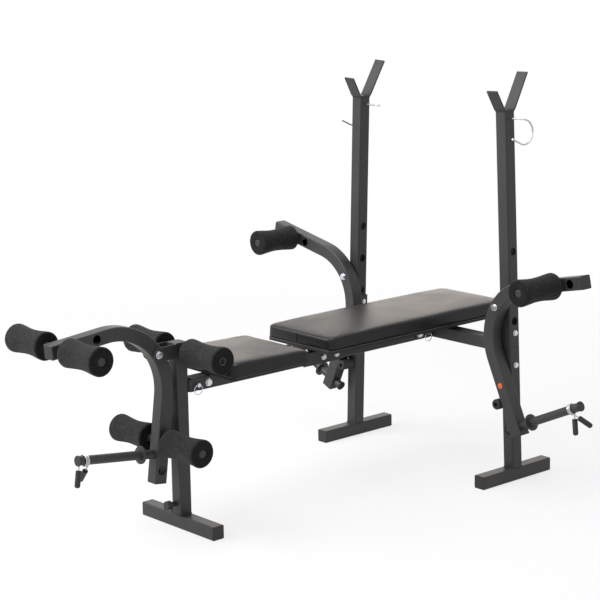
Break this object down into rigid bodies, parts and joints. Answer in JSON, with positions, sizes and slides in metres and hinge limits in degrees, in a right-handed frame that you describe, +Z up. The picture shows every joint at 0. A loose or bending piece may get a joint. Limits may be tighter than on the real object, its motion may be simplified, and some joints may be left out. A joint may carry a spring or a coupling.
{
  "type": "adjustable weight bench",
  "caption": "Folding weight bench with flat seat and tilting backrest, bar uprights, foam-roller leg lever and two swinging arms with weight pegs.",
  "frame": {"origin": "on the floor, in the mid-plane, at the middle of the overall length", "axes": "+Z up, +Y from the leg lever to the head end of the backrest, +X to the user's left when lying on the bench"},
  "size_m": [1.3318, 1.6367, 1.2248],
  "materials": {
    "steel_black": "satin black powder coat",
    "foam_black": "matte black foam",
    "vinyl_black": "matte black vinyl",
    "plastic_black": "matte black plastic",
    "zinc": "bright zinc",
    "rubber_black": "matte rubber",
    "plywood": "raw plywood"
  },
  "bodies": {
    "rail": {"main_rail": "steel_black", "seat_straps": "steel_black", "seat_board": "plywood", "seat_cushion": "vinyl_black", "hinge_plates": "steel_black", "rail_fasteners": "zinc"},
    "backrest": {"backrest_frame": "steel_black", "hinge_leaf": "steel_black", "backrest_board": "plywood", "backrest_cushion": "vinyl_black", "backrest_buffers": "rubber_black", "backrest_screws": "zinc"},
    "front_leg": {"front_post": "steel_black", "front_caps": "plastic_black", "front_foot": "steel_black", "base_angle": "steel_black", "front_rail_bracket": "steel_black", "lever_bracket": "steel_black", "front_fasteners": "zinc", "base_knob": "plastic_black", "knee_bar": "steel_black", "knee_rollers": "foam_black"},
    "lever": {"lever_tube": "steel_black", "lever_caps": "plastic_black", "lever_peg": "steel_black", "curl_bar": "steel_black", "curl_rollers": "foam_black", "ankle_bar": "steel_black", "ankle_rollers": "foam_black"},
    "rear_frame": {"cross_beam": "steel_black", "rear_legs": "steel_black", "rear_feet": "steel_black", "rear_foot_caps": "plastic_black", "upright_right": "steel_black", "upright_left": "steel_black", "upright_sleeves": "steel_black", "bar_catches": "steel_black", "rear_rail_bracket": "steel_black", "rear_fasteners": "zinc", "bumpers": "rubber_black"},
    "lever_collar": {"lever_collar_spring": "zinc", "lever_collar_grips": "plastic_black"},
    "front_pin": {"lock_pin_front": "zinc"},
    "rear_pin": {"lock_pin_rear": "zinc"},
    "right_hook": {"hook_right": "zinc"},
    "left_hook": {"hook_left": "zinc"},
    "right_arm": {"arm_tube_right": "steel_black", "arm_caps_right": "plastic_black", "arm_peg_right": "steel_black", "arm_bar_right": "steel_black", "arm_roller_right": "foam_black"},
    "right_collar": {"arm_collar_spring_right": "zinc", "arm_collar_grips_right": "plastic_black"},
    "left_arm": {"arm_tube_left": "steel_black", "arm_caps_left": "plastic_black", "arm_peg_left": "steel_black", "arm_bar_left": "steel_black", "arm_roller_left": "foam_black"},
    "left_collar": {"arm_collar_spring_left": "zinc", "arm_collar_grips_left": "plastic_black"}
  },
  "joints": [
    {"name": "backrest_tilt", "type": "hinge", "parent": "rail", "child": "backrest", "pos_m": [0, 0.07337, 0.436], "axis": [1, 0, 0], "range_deg": [0, 75]},
    {"name": "front_leg_fold", "type": "hinge", "parent": "rail", "child": "front_leg", "pos_m": [0, -0.29363, 0.41], "axis": [1, 0, 0], "range_deg": [0, 90]},
    {"name": "rear_frame_fold", "type": "hinge", "parent": "rail", "child": "rear_frame", "pos_m": [0, 0.54437, 0.41], "axis": [-1, 0, 0], "range_deg": [0, 90]},
    {"name": "lever_swing", "type": "hinge", "parent": "front_leg", "child": "lever", "pos_m": [0, -0.46363, 0.518], "axis": [-1, 0, 0], "range_deg": [0, 80]},
    {"name": "right_arm_swing", "type": "hinge", "parent": "rear_frame", "child": "right_arm", "pos_m": [0.32931, 0.57237, 0.539], "axis": [0, -1, 0], "range_deg": [0, 75]},
    {"name": "left_arm_swing", "type": "hinge", "parent": "rear_frame", "child": "left_arm", "pos_m": [-0.32931, 0.57237, 0.539], "axis": [0, 1, 0], "range_deg": [0, 75]},
    {"name": "front_pin_pull", "type": "slide", "parent": "front_leg", "child": "front_pin", "axis": [1, 0, 0], "range_m": [0, 0.06]},
    {"name": "rear_pin_pull", "type": "slide", "parent": "rear_frame", "child": "rear_pin", "axis": [1, 0, 0], "range_m": [0, 0.06]},
    {"name": "right_hook_turn", "type": "hinge", "parent": "rear_frame", "child": "right_hook", "pos_m": [0.30744, 0.61637, 1.09318], "axis": [0.9992, 0, 0.0394], "range_deg": [-60, 60]},
    {"name": "left_hook_turn", "type": "hinge", "parent": "rear_frame", "child": "left_hook", "pos_m": [-0.30744, 0.61637, 1.09318], "axis": [0.9992, 0, -0.0394], "range_deg": [-60, 60]},
    {"name": "lever_collar_slide", "type": "slide", "parent": "lever", "child": "lever_collar", "axis": [0, 0.9914, -0.1305], "range_m": [0, 0.15]},
    {"name": "right_collar_slide", "type": "slide", "parent": "right_arm", "child": "right_collar", "axis": [-0.91, 0, -0.4147], "range_m": [0, 0.115]},
    {"name": "left_collar_slide", "type": "slide", "parent": "left_arm", "child": "left_collar", "axis": [0.91, 0, -0.4147], "range_m": [0, 0.115]}
  ]
}
